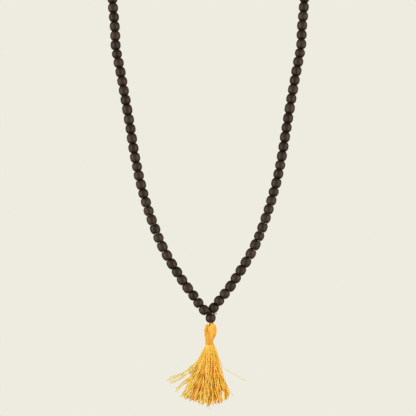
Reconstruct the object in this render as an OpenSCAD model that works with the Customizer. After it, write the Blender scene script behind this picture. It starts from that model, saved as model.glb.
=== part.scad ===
// Prayer-bead necklace: 108 barrel beads in one loop, a guru bead at the point of
// the V and a tassel below it. It hangs as it does round a neck: the front strands
// lie in an upright plane, and the rest of the loop rises over the shoulders and
// goes round the nape. The origin is at the nape, on the side of the beads that
// the neck touches. +X is to the right as seen from the front, +Y to the back, +Z up.

/* [Beads] */
// Outer diameter of a bead; the route of the whole loop scales with it
bead_d = 8; // [6:0.5:10]
// Flat end of a bead across, as a share of its diameter
end_share = 0.6; // [0.5:0.02:0.6]
// Hole through a bead
bore_d = 1.5; // [1.3:0.1:1.7]
// Hole through the guru bead, wide enough for two threads
guru_bore_d = 2.6; // [2.4:0.1:2.8]
// Least room between the flat ends of two neighbours
bead_gap = 0.2; // [0.15:0.05:0.3]
// How far bead lengths stray from their mean, as a share
length_spread = 0.04; // [0:0.01:0.05]

/* [Thread] */
// Thread through the beads
thread_d = 1; // [0.8:0.1:1.1]
// Thread that the tassel hangs by
loop_d = 0.7; // [0.6:0.1:0.8]
// Thread end that stands out beside the guru bead
tail_d = 0.6; // [0.5:0.1:0.7]

/* [Wearing] */
// Depth from the front strands back to the nape
neck_depth = 74; // [70:1:80]
// Rise from the top of the front strands to the nape
neck_rise = 44; // [40:1:48]

/* [Tassel] */
// Height of the folded head
head_h = 14.5; // [13:0.5:16]
// Width of the main fold of the head
head_w = 6.4; // [6:0.2:6.6]
// Thickness of the small fold beside it
side_fold_t = 1.2; // [1:0.1:1.3]
// Width of the waist that the binding goes round
waist_w = 5.4; // [5:0.2:6]
// Height of the binding
binding_h = 2.2; // [1.6:0.2:3]
// Thickness of the binding
binding_t = 0.5; // [0.4:0.1:0.8]
// Length of the skirt below the binding
skirt_l = 50; // [40:1:60]
// Width of the skirt where it is widest
skirt_w = 41; // [34:1:48]

/* [Hidden] */
$fn = 48;
k = bead_d / 8;
bead_r = bead_d / 2;
end_r = bead_r * end_share;
side_beads = 54;
loose_beads = 20;
front_beads = 36;
shoulder_beads = 46;
seat_gap = 0.05;
front_y = bead_r - neck_depth * k;
shoulder_z = -neck_rise * k;
guru_l = 6.8 * k;
guru_tilt = 7;
guru_x = 1.75 * k;
guru_z = shoulder_z - 249.1 * k;

function two_digits(n) = str(n < 10 ? "0" : "", n);
BEADS = [for (side = ["left", "right"]) for (n = [1 : loose_beads]) str("bead_", side, "_", two_digits(n))];

// The lowest two points of each side, above the guru bead: across, drop, forward
ends_left = [[-0.9, 244.6, 3.1], [-6.05, 240.15, 1]];
ends_right = [[2.3, 243.95, -2], [5.75, 238.45, -0.8]];
// Front of a strand, upwards: distance out from the middle, drop below the shoulder
front_rows = [
    [8.8, 235], [15.2, 227], [25.2, 212], [36.6, 192], [45.8, 168], [52.9, 144], [58, 120],
    [61.8, 96], [66, 72], [70.4, 48], [72.8, 36], [73.1, 24], [75.2, 0]
];
// From the shoulder to the nape: distance out, share of the depth still to go
// back, share of the rise still to climb
shoulder_rows = [
    [75.4, 0.97, 0.6], [72.6, 0.84, 0.3], [66, 0.62, 0.12], [55, 0.38, 0.03],
    [39, 0.16, 0], [20, 0.04, 0], [0, 0, 0]
];

// One side of the thread's route, from the guru bead up to the nape
function front_point(x, drop, forward) = [x * k, front_y - forward * k, shoulder_z - drop * k];
function side_points(side) = concat(
    [for (row = side < 0 ? ends_left : ends_right) front_point(row[0], row[1], row[2])],
    [for (row = front_rows) front_point(side * row[0], row[1], 0)],
    [for (row = shoulder_rows)
        [side * row[0] * k, bead_r - neck_depth * k * row[1], shoulder_z * row[2]]]
);

// Smooth curve through the points, and the way along it to each of its points
curve_steps = 12;
function across(p) = [-p[0], p[1], p[2]];
function blend(a, b, c, d, t) = b + 0.5 * t * (c - a + t * (2 * a - 5 * b + 4 * c - d
    + t * (3 * (b - c) + d - a)));
function curve(p) = let (last = len(p) - 1) concat(
    [for (i = [0 : last - 1]) for (j = [0 : curve_steps - 1])
        blend(i == 0 ? 2 * p[0] - p[1] : p[i - 1], p[i], p[i + 1],
              i == last - 1 ? across(p[i]) : p[i + 2], j / curve_steps)],
    [p[last]]
);
function ways(p) = [for (i = 0, way = 0; i < len(p);
    i = i + 1, way = way + (i < len(p) ? norm(p[i] - p[i - 1]) : 0)) way];
function point_at(p, w, way) = [for (axis = [0 : 2])
    lookup(way, [for (i = [0 : len(p) - 1]) [w[i], p[i][axis]]])];

// Bead lengths wander a little round their mean; bead 1 is next to the guru bead.
// The mean follows from the route, so that the loop always closes at the nape.
function bead_share(n) = 1 + length_spread * (sin(147 * (n - 1)) - 0.8 * sin(90 * (n - 1))
    - 0.85 * cos(24 * (n - 15.5)));
function reach(n) = n == 0 ? 0 : reach(n - 1) + bead_share(n);
// Places between the beads of one side: 0 is above the guru bead, 54 is at the nape
function knots_of(side) = let (p = curve(side_points(side)), w = ways(p),
    pitch = w[len(w) - 1] / reach(side_beads))
    [for (n = [0 : side_beads]) point_at(p, w, reach(n) * pitch)];
knots_left = knots_of(-1);
knots_right = knots_of(1);
function knots(side) = side < 0 ? knots_left : knots_right;
function unit(v) = v / norm(v);

// Half of the room at a knot: more where the string bends, so that the inner
// edges of the flat ends don't meet
function next_knot(p, n) = n < side_beads ? p[n + 1] : across(p[n - 1]);
function turn_at(p, n) = n < 1 ? 0 : acos(min(1, unit(p[n] - p[n - 1]) * unit(next_knot(p, n) - p[n])));
function room(p, n) = bead_gap / 2 + end_r * tan(turn_at(p, n) / 2);
function lower_end(p, n) = p[n - 1] + room(p, n - 1) * unit(p[n] - p[n - 1]);
function upper_end(p, n) = p[n] - room(p, n) * unit(p[n] - p[n - 1]);

// Puts a piece that is centred, with its axis along Z, between two points
module between(a, b) {
    v = b - a;
    translate((a + b) / 2) rotate([0, acos(v[2] / norm(v)), atan2(v[1], v[0])]) children();
}

// Turned shape with a hole along Z and flat ends: a straight band round the middle
// between two ball-shaped ends, or one ball cut flat where the band would be too low
least_band = 0.1;
end_steps = 7;
function ball_end(r, band, end) = [for (i = [0 : end_steps])
    let (turn = asin((end - band) / r) * i / end_steps) [r * cos(turn), band + r * sin(turn)]];
module barrel(length, widest, flat, hole) {
    r = widest / 2;
    end = length / 2;
    rise = end - sqrt(r * r - flat * flat / 4);
    band = rise < least_band ? 0 : rise;
    upper = ball_end(r, band, end);
    lower = [for (i = [end_steps : -1 : band > 0 ? 0 : 1]) [upper[i][0], -upper[i][1]]];
    rotate_extrude() polygon(concat([[hole / 2, -end]], lower, upper, [[hole / 2, end]]));
}

// Bead number n of one side
module bead(side, n, hole) {
    a = lower_end(knots(side), n);
    b = upper_end(knots(side), n);
    color("#41362e") between(a, b) barrel(norm(b - a), bead_d, 2 * end_r, hole);
}

// Thread at the upper end of bead n, reaching beyond it
link_in = 1;
module link(side, n, beyond) {
    p = knots(side);
    along = unit(next_knot(p, n) - p[n - 1]);
    color("#2a211b") between(p[n] - link_in * along, p[n] + beyond * along)
        cylinder(d = thread_d, h = link_in + beyond, center = true);
}

// Beads first to last of one side, joined along their thread
module run(side, first, last) {
    for (n = [first : last]) bead(side, n, 0);
    for (n = [first : last - 1]) link(side, n, link_in);
}

// A run whose thread reaches the next piece above it
module open_run(side, first, last) {
    run(side, first, last);
    link(side, last, room(knots(side), last) - seat_gap);
}

module strand_back() {
    run(-1, shoulder_beads + 1, side_beads);
    run(1, shoulder_beads + 1, side_beads);
    link(-1, side_beads, link_in);
}

// The guru bead leans over: a place in it, across and up from its middle
function guru_at(aside, up) = [
    guru_x + aside * cos(guru_tilt) + up * sin(guru_tilt), front_y,
    guru_z - aside * sin(guru_tilt) + up * cos(guru_tilt)
];
module guru_bead() {
    color("#3d332b") between(guru_at(0, -guru_l / 2), guru_at(0, guru_l / 2))
        barrel(guru_l, bead_d, 2 * end_r, guru_bore_d);
}

// Faces of a closed solid made of rings, each with the same number of points
function closed_faces(rings, sides) = concat(
    [[for (j = [0 : sides - 1]) j]],
    [for (i = [0 : rings - 2]) for (j = [0 : sides - 1])
        let (a = i * sides + j, b = i * sides + (j + 1) % sides) [a, a + sides, b + sides, b]],
    [[for (j = [sides - 1 : -1 : 0]) (rings - 1) * sides + j]]
);

// Tube along points, as deep as it is thick or deeper
function heading(p, i) = unit(p[min(i + 1, len(p) - 1)] - p[max(i - 1, 0)]);
function ring(p, i, d, deep, sides) = let (t = heading(p, i),
    u = unit(cross(t, [0, 1, 0])), v = deep * cross(t, u))
    [for (j = [0 : sides - 1]) p[i] + d / 2 * (cos(360 * j / sides) * u + sin(360 * j / sides) * v)];
module tube(p, d, deep = 1, sides = 8) {
    polyhedron([for (i = [0 : len(p) - 1]) each ring(p, i, d, deep, sides)], closed_faces(len(p), sides));
}

// Thread of one side, from the joined beads down through the loose ones and
// into the guru bead
thread_x = 0.6;
thread_out = 0.7 * k;
thread_in = 2.4 * k;
thread_rise = 0.65 * k;
module thread(side) {
    p = knots(side);
    top = p[loose_beads] + (room(p, loose_beads) - seat_gap) * unit(p[loose_beads] - p[loose_beads - 1]);
    aside = side * thread_x;
    color("#2a211b") tube(concat([top], [for (n = [loose_beads - 1 : -1 : 1]) p[n]],
        [p[0] + thread_out * unit(p[0] - p[1]), guru_at(aside, guru_l / 2 + thread_rise),
         guru_at(aside, guru_l / 2 - thread_in)]), thread_d);
}

// Thread end: across, forward and up from the middle of the guru bead's upper end
tail_rows = [[1.5, 1.5, 0.3], [3, 1.7, 0.25], [4.8, 1.6, 0.1]];
module thread_tail() {
    color("#8d8078") tube([for (row = tail_rows)
        [guru_x + row[0] * k, front_y - row[1] * k, guru_z + guru_l / 2 + row[2] * k]], tail_d, sides = 6);
}

// The tassel hangs a little below the guru bead
head_gap = 0.4;
head_top = guru_z - guru_l / 2 - head_gap;
waist_top = head_top - head_h;
waist_bottom = waist_top - binding_h - 2 * seat_gap;
waist_x = guru_x - 1;

// Closed solid through oval rings. A row holds the drop as a share of the height,
// then the shift to the right, the half width and the half depth as shares of
// half the width.
module lofted(rows, middle, top, height, width, sides = 32) {
    polyhedron([for (row = rows) for (j = [0 : sides - 1]) let (turn = -360 * j / sides) [
        middle + width / 2 * (row[1] + row[2] * cos(turn)),
        front_y + width / 2 * row[3] * sin(turn),
        top - height * row[0]
    ]], closed_faces(len(rows), sides));
}

// Loop that the tassel hangs by, its turn under the threads of the main fold
loop_half = 0.45;
loop_x = guru_x - 0.1;
loop_drop = 1.8;
loop_up = 0.5;
loop_turn_steps = 6;
module tassel_loop() {
    turn_z = head_top - loop_drop + loop_half + loop_d / 2;
    color("#a8340f") tube(concat(
        [guru_at(-loop_half, loop_up)],
        [for (j = [0 : loop_turn_steps]) let (turn = 180 * j / loop_turn_steps)
            [loop_x - loop_half * cos(turn), front_y, turn_z - loop_half * sin(turn)]],
        [guru_at(loop_half, loop_up)]
    ), loop_d);
}

// Main fold, from its top to the waist: drop, shift, width, depth
main_fold_rows = [
    [0, 0.1, 0.47, 0.5], [0.08, 0.32, 0.7, 0.76], [0.22, 0.44, 0.88, 0.94], [0.39, 0.52, 0.99, 1],
    [0.56, 0.5, 0.94, 1], [0.73, 0.35, 0.78, 0.92], [0.89, 0.15, 0.58, 0.84], [1, 0.05, 0.48, 0.8]
];
loop_room = 0.1;
module tassel_main_fold() {
    color("#f2b23c") difference() {
        lofted(main_fold_rows, guru_x, head_top, head_h, head_w);
        translate([loop_x, front_y, head_top - loop_drop - loop_room])
            cylinder(r = loop_half + loop_d / 2 + loop_room, h = 2 * loop_drop);
    }
}

// Small fold beside it, up and over from the waist: across from the guru bead's
// middle, drop as a share of the head's height
side_fold_rows = [
    [-3.5, 1], [-3.5, 0.96], [-3.9, 0.85], [-4.1, 0.6], [-4.15, 0.35], [-4.05, 0.19], [-3.65, 0.11],
    [-3.15, 0.09], [-2.65, 0.11], [-2.3, 0.19], [-2.2, 0.35], [-2.2, 0.6], [-2.2, 1]
];
side_fold_deep = 2.4;
module tassel_side_fold() {
    color("#efa93a") tube([for (row = side_fold_rows)
        [guru_x + row[0], front_y, head_top - head_h * row[1]]], side_fold_t, side_fold_deep, 12);
}

module tassel_binding() {
    inner = waist_w + 2 * seat_gap;
    outer = inner + 2 * binding_t;
    color("#f3bd5a") translate([waist_x, front_y, (waist_top + waist_bottom) / 2])
        barrel(binding_h, outer, outer - binding_t, inner);
}

// Skirt, from the binding to its lowest threads: drop, shift, width, depth
skirt_rows = [
    [0, 0, 0.16, 0.15], [0.1, 0.01, 0.25, 0.22], [0.18, 0, 0.33, 0.29], [0.28, -0.02, 0.42, 0.36],
    [0.4, -0.13, 0.6, 0.44], [0.51, -0.22, 0.75, 0.5], [0.62, -0.27, 0.89, 0.56], [0.73, -0.28, 1, 0.6],
    [0.83, -0.17, 0.95, 0.58], [0.91, -0.05, 0.76, 0.48], [1, 0.03, 0.2, 0.16]
];
module tassel_skirt() {
    waist_share = waist_w / skirt_w;
    neck_share = (waist_top - waist_bottom - seat_gap) / skirt_l;
    neck_rows = [[-neck_share, 0, waist_share, waist_share], [0, 0, waist_share, waist_share]];
    color("#f0b23f") lofted(concat(neck_rows, skirt_rows), waist_x, waist_bottom, skirt_l, skirt_w);
}

for (n = [1 : loose_beads]) {
    bead(-1, n, bore_d);
    bead(1, n, bore_d);
}
guru_bead();
open_run(-1, loose_beads + 1, front_beads);  // strand_left_front
open_run(1, loose_beads + 1, front_beads);  // strand_right_front
open_run(-1, front_beads + 1, shoulder_beads);  // strand_left_shoulder
open_run(1, front_beads + 1, shoulder_beads);  // strand_right_shoulder
strand_back();
thread(-1);  // thread_left
thread(1);  // thread_right
thread_tail();
tassel_loop();
tassel_main_fold();
tassel_side_fold();
tassel_binding();
tassel_skirt();
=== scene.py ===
import random
from math import asin, atan2, cos, pi, radians, sin, sqrt, tan

import bmesh
import bpy
from mathutils import Matrix, Vector


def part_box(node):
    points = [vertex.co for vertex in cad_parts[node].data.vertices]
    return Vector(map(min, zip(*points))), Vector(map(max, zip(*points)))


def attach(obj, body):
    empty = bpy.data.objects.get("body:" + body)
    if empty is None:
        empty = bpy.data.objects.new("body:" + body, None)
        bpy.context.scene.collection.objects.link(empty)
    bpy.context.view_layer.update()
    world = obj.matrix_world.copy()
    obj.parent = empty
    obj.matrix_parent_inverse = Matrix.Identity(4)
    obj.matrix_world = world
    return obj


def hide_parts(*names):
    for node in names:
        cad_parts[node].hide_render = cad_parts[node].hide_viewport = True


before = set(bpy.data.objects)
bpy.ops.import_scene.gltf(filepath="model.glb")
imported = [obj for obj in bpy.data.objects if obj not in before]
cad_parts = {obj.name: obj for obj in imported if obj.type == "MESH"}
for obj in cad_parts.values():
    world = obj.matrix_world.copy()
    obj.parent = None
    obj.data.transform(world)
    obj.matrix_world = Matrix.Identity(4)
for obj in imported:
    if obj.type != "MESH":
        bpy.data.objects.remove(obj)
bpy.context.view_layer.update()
mm = 0.001               # everything below is in millimetres until a piece is finished
draw = random.Random(41)
anyTurn = 6.28           # a turn in radians is drawn from 0 up to this

# The loop of beads, as the frame has it
loop = {
    "bead": 8.0,         # across a bead
    "flatEnd": 0.6,      # flat end of a bead before its rim is rounded, share of its diameter
    "leastBand": 0.1,    # a lower band round a bead's middle is left out
    "gap": 0.2,          # least room between two beads
    # bead lengths wander by this share, in three waves: strength, and degrees from bead to bead
    "lengthSpread": 0.04,
    "waves": [(1, 147), (0.8, 90), (0.85, 24)],
    "slowDip": 14.5,     # bead at which the last and slow wave is lowest
    "perSide": 54,
    "loose": 20,         # beads of each side that are pieces of their own
    "frontUpTo": 36,
    "shoulderUpTo": 46,
    "neckDepth": 74.0,
    "neckRise": 44.0,
    "guruLength": 6.8,
    "guruTilt": 7,       # degrees that it leans over
    "guruDrop": 249.1,   # guru bead's middle below the shoulder
    "guruAcross": 1.75,
    "guruToHead": 0.4,   # from the guru bead down to the tassel's head
    "bore": 1.5,
    "guruBore": 2.6,
    "string": 1.0,
    # lowest two points of each side: across, drop below the shoulder, forward
    "endsLeft": [(-0.9, 244.6, 3.1), (-6.05, 240.15, 1)],
    "endsRight": [(2.3, 243.95, -2), (5.75, 238.45, -0.8)],
    # up the front: out from the middle, drop below the shoulder
    "front": [
        (8.8, 235), (15.2, 227), (25.2, 212), (36.6, 192), (45.8, 168), (52.9, 144), (58, 120),
        (61.8, 96), (66, 72), (70.4, 48), (72.8, 36), (73.1, 24), (75.2, 0),
    ],
    # over the shoulder to the nape: out, share of the depth to go, share of the rise to climb
    "shoulder": [
        (75.4, 0.97, 0.6), (72.6, 0.84, 0.3), (66, 0.62, 0.12), (55, 0.38, 0.03),
        (39, 0.16, 0), (20, 0.04, 0), (0, 0, 0),
    ],
    "routeSteps": 12,    # steps of the curve between two of these points
}
beadRadius = loop["bead"] / 2
endRadius = beadRadius * loop["flatEnd"]
frontY = beadRadius - loop["neckDepth"]
shoulderZ = -loop["neckRise"]
guruX = loop["guruAcross"]
guruZ = shoulderZ - loop["guruDrop"]
guruHalf = loop["guruLength"] / 2
headTop = guruZ - guruHalf - loop["guruToHead"]


# Small helpers

def eitherWay(most):
    return draw.uniform(-most, most)


def unit(v):
    return v / v.length


def across(p):
    return Vector((-p.x, p.y, p.z))


def catmull(a, b, c, d, t):
    return b + 0.5 * t * (c - a + t * (2 * a - 5 * b + 4 * c - d + t * (3 * (b - c) + d - a)))


def smoothCurve(points, steps, beyond=None):  # beyond is the neighbour after the last point
    p = [2 * points[0] - points[1], *points, beyond or 2 * points[-1] - points[-2]]
    made = [catmull(*p[i:i + 4], j / steps) for i in range(len(points) - 1) for j in range(steps)]
    return made + [points[-1].copy()]


def waysAlong(points):
    ways = [0.0]
    for a, b in zip(points, points[1:]):
        ways.append(ways[-1] + (b - a).length)
    return ways


def pointsAt(points, wanted):    # places on a line, at rising distances along it
    ways, made, i = waysAlong(points), [], 0
    for way in wanted:
        while i < len(points) - 2 and ways[i + 1] < way:
            i += 1
        share = (way - ways[i]) / max(ways[i + 1] - ways[i], 1e-9)
        made.append(points[i].lerp(points[i + 1], max(0.0, min(1.0, share))))
    return made


def evenly(points, count):
    total = waysAlong(points)[-1]
    return pointsAt(points, [total * i / (count - 1) for i in range(count)])


def tableAt(rows, key):          # smooth reading of a table sorted by its first column
    i = max(j for j in range(len(rows) - 1) if j == 0 or rows[j][0] <= key)
    near = [Vector(rows[max(0, min(len(rows) - 1, j))]) for j in range(i - 1, i + 3)]
    share = (key - rows[i][0]) / (rows[i + 1][0] - rows[i][0])
    return catmull(*near, max(0.0, min(1.0, share)))


def between(a, b):               # turns and moves a piece made along Z
    v = b - a
    heading, lean = atan2(v.y, v.x), atan2(v.xy.length, v.z)
    return Matrix.Translation((a + b) / 2) @ Matrix.Rotation(heading, 4, "Z") @ Matrix.Rotation(lean, 4, "Y")


# Route of the string, and where each bead sits on it

def sidePoints(side):
    points = [Vector((x, frontY - forward, shoulderZ - drop))
              for x, drop, forward in loop["endsLeft" if side < 0 else "endsRight"]]
    points += [Vector((side * out, frontY, shoulderZ - drop)) for out, drop in loop["front"]]
    points += [Vector((side * out, beadRadius - loop["neckDepth"] * depth, shoulderZ * rise))
               for out, depth, rise in loop["shoulder"]]
    return points


def wanderOf(n):
    (quick, quickTurn), (step, stepTurn), (slow, slowTurn) = loop["waves"]
    wander = quick * sin(radians(quickTurn * n)) - step * sin(radians(stepTurn * n))
    return wander - slow * cos(radians(slowTurn * (n - loop["slowDip"])))


def knotsOf(side):               # the string's places between the beads of one side
    points = sidePoints(side)
    line = smoothCurve(points, loop["routeSteps"], across(points[-2]))
    reach = [0.0]
    for n in range(loop["perSide"]):
        reach.append(reach[-1] + 1 + loop["lengthSpread"] * wanderOf(n))
    pitch = waysAlong(line)[-1] / reach[-1]
    return pointsAt(line, [r * pitch for r in reach])


knots = {-1: knotsOf(-1), 1: knotsOf(1)}


def roomAt(p, n):                # half the room between two beads, more where the string bends
    if n < 1:
        return loop["gap"] / 2
    after = p[n + 1] if n < loop["perSide"] else across(p[n - 1])
    turn = (p[n] - p[n - 1]).angle(after - p[n])
    return loop["gap"] / 2 + endRadius * tan(turn / 2)


def beadEnds(side, n):
    p = knots[side]
    along = unit(p[n] - p[n - 1])
    return p[n - 1] + roomAt(p, n - 1) * along, p[n] - roomAt(p, n) * along


def guruAt(aside, up, forward=0.0):  # a place in the guru bead, from its middle
    tilt = radians(loop["guruTilt"])
    return Vector((guruX + aside * cos(tilt) + up * sin(tilt), frontY - forward,
                   guruZ - aside * sin(tilt) + up * cos(tilt)))


# Materials

def color(text):                 # sRGB hex to linear RGBA
    parts = [int(text[i:i + 2], 16) / 255 for i in (0, 2, 4)]
    return [c / 12.92 if c <= 0.04045 else ((c + 0.055) / 1.055) ** 2.4 for c in parts] + [1.0]


def addNode(tree, kind, inputs=None, stops=None, **settings):
    # one node, its settings, and its inputs: a value, or an output to link, or a node for its first output
    node = tree.nodes.new("ShaderNode" + kind)
    for name, value in settings.items():
        setattr(node, name, value)
    for name, value in (inputs or {}).items():
        if isinstance(value, bpy.types.Node):
            value = value.outputs[0]
        if isinstance(value, bpy.types.NodeSocket):
            tree.links.new(value, node.inputs[name])
        else:
            node.inputs[name].default_value = value
    for i, (place, tone) in enumerate(stops or []):
        element = node.color_ramp.elements[i] if i < 2 else node.color_ramp.elements.new(place)
        element.position = place
        element.color = color(tone)
    return node


def addObject(name, data):
    made = bpy.data.objects.new(name, data)
    bpy.context.scene.collection.objects.link(made)
    return made


def meshObject(bm, name, material):
    for face in bm.faces:
        face.smooth = True
    mesh = bpy.data.meshes.new(name)
    bm.to_mesh(mesh)
    bm.free()
    mesh.materials.append(material)
    return addObject(name, mesh)


def newMaterial(name):
    material = bpy.data.materials.new(name)
    material.use_nodes = True
    material.node_tree.nodes.clear()
    return material, material.node_tree


def closeMaterial(tree, shader):
    addNode(tree, "OutputMaterial", {"Surface": shader})


# Ebonised hardwood: turned from rod, sanded, stained through and waxed. It is a warm
# near-black with slightly lighter streaks along the bore, dark pores and a soft satin shine.
wood = {
    "dark": "130e08", "mid": "261c12", "light": "3e2f20", "warm": "3a2119",
    "darkAt": 0.42, "midAt": 0.66, "lightAt": 0.88,   # how light a streak has to be for these tones
    "ends": "0a0704",    # end grain drinks the most stain, and the ends also carry painted shade where the beads meet, so they are darkest
    "beadSpread": 0.3,   # how far beads differ in lightness, on the same scale
    "warmest": 0.38,     # share of the warm tone in the warmest bead
    "warmShuffle": 2.7,  # keeps a bead's warmth apart from its lightness
    "streak": 0.45,      # mm across a streak of grain
    "streakShape": 0.16,  # width of a streak over its length, which runs along the bore
    "pore": 0.22,        # mm across a pore
    "poreEdge": (0.58, 0.68),
    "latheMark": 0.5,    # mm between the marks of the turning tool
    "markDepth": 0.12,   # of those marks, beside the depth of a pore
    "roughness": (0.34, 0.55),
    "shine": 0.37,       # open pores and dry wax give back less than a lacquer would
}


def ebonisedWood():
    material, tree = newMaterial("ebonisedWood")
    grain = addNode(tree, "Attribute", attribute_name="grain").outputs["Vector"]
    tint, endStainAndShade = (addNode(tree, "Attribute", attribute_name=n).outputs["Fac"] for n in ("tint", "endStainAndShade"))
    drawn = addNode(tree, "Mapping", {"Vector": grain, "Scale": (1, 1, wood["streakShape"])})
    streaks = addNode(tree, "TexNoise", {
        "Vector": drawn, "Scale": 1 / wood["streak"], "Detail": 4.0, "Roughness": 0.62, "Distortion": 0.4,
    })
    pores = addNode(tree, "TexNoise", {
        "Vector": drawn, "Scale": 1 / wood["pore"], "Detail": 2.0, "Roughness": 0.5,
    })
    poreFrom, poreTo = wood["poreEdge"]
    poreMask = addNode(tree, "MapRange", {
        "Value": pores, "From Min": poreFrom, "From Max": poreTo, "To Min": 0.0, "To Max": 1.0,
    })
    lifted = addNode(tree, "Math", {0: tint, 1: wood["beadSpread"], 2: streaks}, operation="MULTIPLY_ADD")
    tones = addNode(tree, "ValToRGB", {"Fac": lifted}, stops=[
        (wood["darkAt"], wood["dark"]), (wood["lightAt"], wood["light"]), (wood["midAt"], wood["mid"]),
    ])
    warmth = addNode(tree, "Math", {0: tint, 1: wood["warmShuffle"]}, operation="MULTIPLY")
    warmth = addNode(tree, "Math", {0: warmth}, operation="FRACT")
    warmth = addNode(tree, "Math", {0: warmth, 1: wood["warmest"]}, operation="MULTIPLY")
    # the last mix darkens the bead ends: end-grain stain and painted shade where the beads meet
    for share, tone in ((warmth, "warm"), (poreMask, "dark"), (endStainAndShade, "ends")):
        tones = addNode(tree, "Mix", {
            "Factor": share, "A": tones, "B": color(wood[tone]),
        }, data_type="RGBA").outputs[2]
    low, high = wood["roughness"]
    rough = addNode(tree, "MapRange", {
        "Value": streaks, "From Min": 0.3, "From Max": 0.7, "To Min": high, "To Max": low,
    })
    height = addNode(tree, "SeparateXYZ", {"Vector": grain}).outputs["Z"]
    turns = addNode(tree, "Math", {0: height, 1: 2 * pi / wood["latheMark"]}, operation="MULTIPLY")
    marks = addNode(tree, "Math", {0: turns}, operation="SINE")
    pitted = addNode(tree, "Math", {0: streaks, 1: poreMask}, operation="SUBTRACT")
    relief = addNode(tree, "Math", {0: marks, 1: wood["markDepth"], 2: pitted}, operation="MULTIPLY_ADD")
    bump = addNode(tree, "Bump", {"Height": relief, "Strength": 0.5, "Distance": 0.03 * mm})
    shader = addNode(tree, "BsdfPrincipled", {
        "Base Color": tones, "Roughness": rough, "Normal": bump, "IOR": 1.5,
        "Specular IOR Level": wood["shine"], "Specular Tint": color("fff2e0"),
    })
    closeMaterial(tree, shader)
    return material


# What all the threads share: plies that wind round each other, with painted shade in their grooves, and dye
# that took a little unevenly
twist = {
    "patch": 5.0,        # mm across a patch of lighter or darker dye
    "plyShade": 0.04,     # painted shade: how far the groove of a ply is darker than its crest
    "toneRange": (0.35, 1.65),
    "toneStops": (0.02, 0.2, 0.5, 0.92),   # where the four tones stand in that range
}


def twistedThread(name, tones, pitch, plies, roughness, sheen, groove=0.3, glow=0.0):
    # tones run from painted shade on threads deep down to the lit tone of those on top. UV runs in mm along
    # a thread and once round it.
    material, tree = newMaterial(name)
    split = addNode(tree, "SeparateXYZ", {"Vector": addNode(tree, "UVMap", uv_map="UVMap")})
    tint = addNode(tree, "Attribute", attribute_name="tint").outputs["Fac"]
    wound = addNode(tree, "Math", {0: split.outputs["Y"], 1: plies}, operation="MULTIPLY")
    wound = addNode(tree, "Math", {0: split.outputs["X"], 1: 1 / pitch, 2: wound}, operation="MULTIPLY_ADD")
    phase = addNode(tree, "Math", {0: wound, 1: 2 * pi}, operation="MULTIPLY")
    wave = addNode(tree, "Math", {0: phase}, operation="SINE")
    place = addNode(tree, "TexCoord").outputs["Object"]
    patches = addNode(tree, "TexNoise", {
        "Vector": place, "Scale": 1 / (twist["patch"] * mm), "Detail": 2.0, "Roughness": 0.5,
    })
    # the thread's tint, which holds painted light and shade and some tone at random, plus patches of uneven
    # dye
    dyeAndShade = addNode(tree, "Math", {0: tint, 1: patches}, operation="ADD")
    # painted shade in the grooves between plies
    shade = addNode(tree, "Math", {0: wave, 1: twist["plyShade"], 2: dyeAndShade}, operation="MULTIPLY_ADD")
    darkest, lightest = twist["toneRange"]
    tone = addNode(tree, "MapRange", {
        "Value": shade, "From Min": darkest, "From Max": lightest, "To Min": 0.0, "To Max": 1.0,
    })
    stops = list(zip(twist["toneStops"], tones))
    stops = [stops[0], stops[3], stops[1], stops[2]]    # a new ramp has its two end stops already
    ramp = addNode(tree, "ValToRGB", {"Fac": tone}, stops)
    bump = addNode(tree, "Bump", {"Height": wave, "Strength": groove, "Distance": 0.05 * mm})
    shader = addNode(tree, "BsdfPrincipled", {
        "Base Color": ramp, "Roughness": roughness, "Normal": bump, "IOR": 1.47,
        "Sheen Weight": sheen, "Sheen Roughness": 0.35, "Sheen Tint": color(tones[3]),
        "Subsurface Weight": glow, "Subsurface Radius": (1.0, 0.4, 0.12), "Subsurface Scale": 0.5 * mm,
    })
    closeMaterial(tree, shader)
    return material


woodFinish = ebonisedWood()
# Rayon floss: saffron-dyed filament, two plies loosely twisted. Smooth filaments give it a silky shine
# and let a little light through. Threads that lie deep get a deeper orange than those on top: painted shade.
flossFinish = twistedThread("rayonFloss", ("dc6e0e", "f09412", "f4be38", "f6d662"), pitch=1.6, plies=2,
                            roughness=0.42, sheen=0.06, groove=0.15, glow=0.08)
# The same floss wound tight round the waist: the pull flattens its twist and dulls its shine. Its tones are
# deeper than the loose floss's: painted shade under the head.
windingFinish = twistedThread("shadedWoundFloss", ("c8500a", "d47c10", "e29d30", "eab44e"), pitch=1.2, plies=2,
                              roughness=0.45, sheen=0.12, groove=0.15, glow=0.08)
# Cotton cord, dyed deep orange and hard twisted: it is matt, with deep grooves.
hangerFinish = twistedThread("dyedCottonCord", ("b84408", "dc640f", "f2801c", "ff9a34"), pitch=2.4, plies=3,
                             roughness=0.65, sheen=0.2, groove=0.4)
# Waxed cotton string, dark brown: it nearly vanishes between the beads.
stringFinish = twistedThread("waxedCottonString", ("140f0b", "1d1611", "2b221b", "3a2f26"), pitch=3.0,
                             plies=3, roughness=0.55, sheen=0.1, groove=0.5)
# The same cotton where it is cut and unravelled: the wax is gone and the fibres are dry and grey.
fibreFinish = twistedThread("rawCottonFibre", ("6b625b", "8a8078", "a79d95", "beb4ac"), pitch=1.5, plies=1,
                            roughness=0.8, sheen=0.3)


# Finishing a piece: mesh to object at the origin, riding on the one body

def finishPiece(bm, name, material, nodes=()):
    bmesh.ops.scale(bm, vec=(mm, mm, mm), verts=bm.verts)
    bmesh.ops.recalc_face_normals(bm, faces=bm.faces)
    piece = meshObject(bm, name, material)
    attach(piece, "root")
    if nodes:
        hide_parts(*nodes)


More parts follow.
